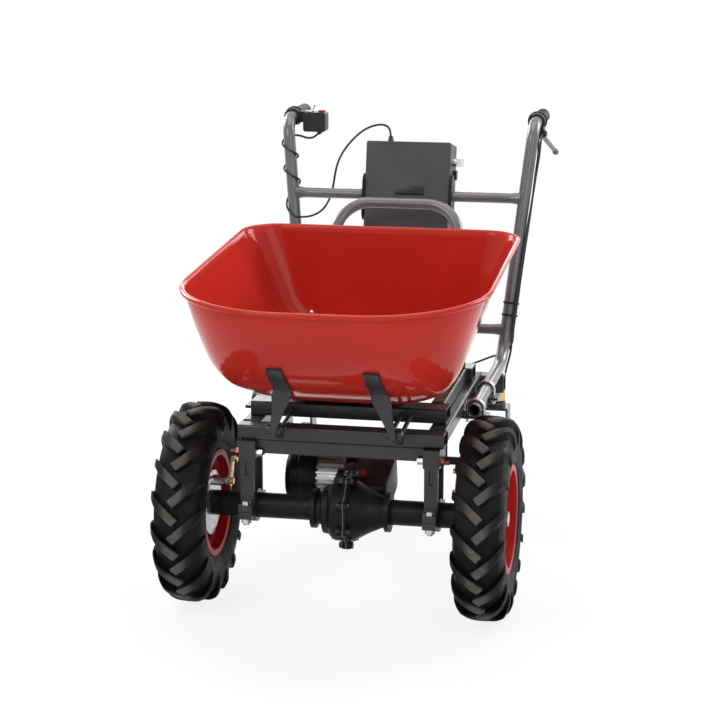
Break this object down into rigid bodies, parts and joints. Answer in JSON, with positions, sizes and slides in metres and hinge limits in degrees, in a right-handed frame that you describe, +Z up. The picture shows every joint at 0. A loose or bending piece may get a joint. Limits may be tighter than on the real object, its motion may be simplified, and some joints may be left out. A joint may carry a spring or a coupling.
{
  "type": "electric power barrow",
  "caption": "Battery driven barrow with a tipping pressed tray, lugged drive wheels, swivel casters behind, raised handles and a battery box",
  "frame": {"origin": "on the floor, under the middle of the barrow's length and width", "axes": "+Z up, the barrow drives towards -Y, +X is the operator's left hand"},
  "size_m": [0.716, 1.2776, 0.9437],
  "materials": {
    "tray_paint": "gloss red enamel over pressed steel",
    "rim_paint": "gloss red enamel",
    "frame_paint": "satin anthracite powder coat",
    "handle_paint": "satin grey powder coat",
    "box_paint": "satin dark grey powder coat",
    "drive_paint": "black paint, worn at the edges",
    "motor_metal": "cast, finned",
    "zinc": "bright zinc plate",
    "yellow_zinc": "yellow zinc plate",
    "steel": "bare steel",
    "tyre_rubber": "matt black rubber",
    "caster_tread": "grey black rubber",
    "grip_rubber": "soft black rubber",
    "black_plastic": "moulded, fine grain",
    "red_plastic": "moulded dark red",
    "cable_skin": "smooth black sheath",
    "battery_case": "moulded case",
    "controller_case": "anodised case"
  },
  "bodies": {
    "chassis": {"axle_tubes": "drive_paint", "axle_bearings": "steel", "brake_plates": "zinc", "diff_right_half": "drive_paint", "diff_left_half": "drive_paint", "motor_body": "motor_metal", "motor_end_bell": "motor_metal", "gear_case": "drive_paint", "front_beam": "frame_paint", "lower_beam": "frame_paint", "side_rails": "frame_paint", "rear_beam": "frame_paint", "axle_hangers": "frame_paint", "axle_clamps": "frame_paint", "axle_fasteners": "zinc", "u_bolts": "zinc", "left_handle": "handle_paint", "right_handle": "handle_paint", "cross_bars": "handle_paint", "caster_heads": "frame_paint", "box_shell": "box_paint", "box_cover": "box_paint", "box_cradle": "box_paint", "battery_pack": "battery_case", "controller": "controller_case", "key_switch": "black_plastic", "charge_socket": "black_plastic", "cable_gland": "black_plastic", "left_grip": "grip_rubber", "switch_box": "black_plastic", "brake_bracket": "black_plastic", "brake_cables": "cable_skin", "cable_ties": "black_plastic", "control_cable": "cable_skin"},
    "tray_frame": {"tray": "tray_paint", "front_braces": "frame_paint", "rear_straps": "frame_paint", "tray_fasteners": "zinc", "tray_cross_tubes": "frame_paint", "tray_side_tubes": "frame_paint", "loop_handle": "handle_paint"},
    "left_wheel": {"left_tyre": "tyre_rubber", "left_rim": "rim_paint", "left_hub": "drive_paint", "left_wheel_nuts": "zinc"},
    "right_wheel": {"right_tyre": "tyre_rubber", "right_rim": "rim_paint", "right_hub": "drive_paint", "right_wheel_nuts": "zinc"},
    "left_swivel": {"left_caster_fork": "frame_paint"},
    "right_swivel": {"right_caster_fork": "frame_paint"},
    "left_caster": {"left_caster_wheel": "caster_tread"},
    "right_caster": {"right_caster_wheel": "caster_tread"},
    "throttle": {"throttle_grip": "grip_rubber"},
    "direction": {"direction_switch": "steel"},
    "button": {"red_button": "red_plastic"},
    "ignition": {"key": "steel"},
    "lever": {"brake_lever": "steel"},
    "left_arm": {"left_brake_arm": "yellow_zinc"},
    "right_arm": {"right_brake_arm": "yellow_zinc"}
  },
  "joints": [
    {"name": "tray_tip", "type": "hinge", "parent": "chassis", "child": "tray_frame", "pos_m": [0, -0.42416, 0.393], "axis": [1, 0, 0], "range_deg": [0, 70]},
    {"name": "left_wheel_spin", "type": "hinge", "parent": "chassis", "child": "left_wheel", "pos_m": [0.305, -0.34616, 0.208], "axis": [1, 0, 0], "continuous": true},
    {"name": "right_wheel_spin", "type": "hinge", "parent": "chassis", "child": "right_wheel", "pos_m": [-0.305, -0.34616, 0.208], "axis": [1, 0, 0], "continuous": true},
    {"name": "left_caster_turn", "type": "hinge", "parent": "chassis", "child": "left_swivel", "pos_m": [0.232, 0.29384, 0.29], "axis": [0, 0, 1], "continuous": true},
    {"name": "left_caster_spin", "type": "hinge", "parent": "left_swivel", "child": "left_caster", "pos_m": [0.232, 0.33584, 0.1], "axis": [1, 0, 0], "continuous": true},
    {"name": "right_caster_turn", "type": "hinge", "parent": "chassis", "child": "right_swivel", "pos_m": [-0.232, 0.29384, 0.29], "axis": [0, 0, 1], "continuous": true},
    {"name": "right_caster_spin", "type": "hinge", "parent": "right_swivel", "child": "right_caster", "pos_m": [-0.232, 0.33584, 0.1], "axis": [1, 0, 0], "continuous": true},
    {"name": "brake_squeeze", "type": "hinge", "parent": "chassis", "child": "lever", "pos_m": [0.30361, 0.50644, 0.88326], "axis": [0.9272, 0, 0.3746], "range_deg": [0, 22], "stiffness_Nm_per_rad": 1},
    {"name": "left_arm_pull", "type": "hinge", "parent": "chassis", "child": "left_arm", "pos_m": [0.236, -0.34616, 0.256], "axis": [-1, 0, 0], "range_deg": [0, 15]},
    {"name": "right_arm_pull", "type": "hinge", "parent": "chassis", "child": "right_arm", "pos_m": [-0.236, -0.34616, 0.256], "axis": [-1, 0, 0], "range_deg": [0, 15]},
    {"name": "throttle_twist", "type": "hinge", "parent": "chassis", "child": "throttle", "pos_m": [-0.292, 0.57784, 0.912], "axis": [0, 1, 0], "range_deg": [0, 60], "stiffness_Nm_per_rad": 0.3},
    {"name": "direction_flick", "type": "hinge", "parent": "chassis", "child": "direction", "pos_m": [-0.248, 0.49744, 0.918], "axis": [0, -1, 0], "range_deg": [0, 50]},
    {"name": "button_push", "type": "slide", "parent": "chassis", "child": "button", "axis": [0, 0, -1], "range_m": [0, 0.003], "stiffness_N_per_m": 300, "springref_m": -0.002},
    {"name": "key_turn", "type": "hinge", "parent": "chassis", "child": "ignition", "pos_m": [0.1, 0.46796, 0.8156], "axis": [1, 0, 0], "range_deg": [0, 90]}
  ],
  "couplings": [
    {"joint": "left_arm_pull", "follows": "brake_squeeze", "ratio": 0.6818},
    {"joint": "right_arm_pull", "follows": "brake_squeeze", "ratio": 0.6818}
  ]
}
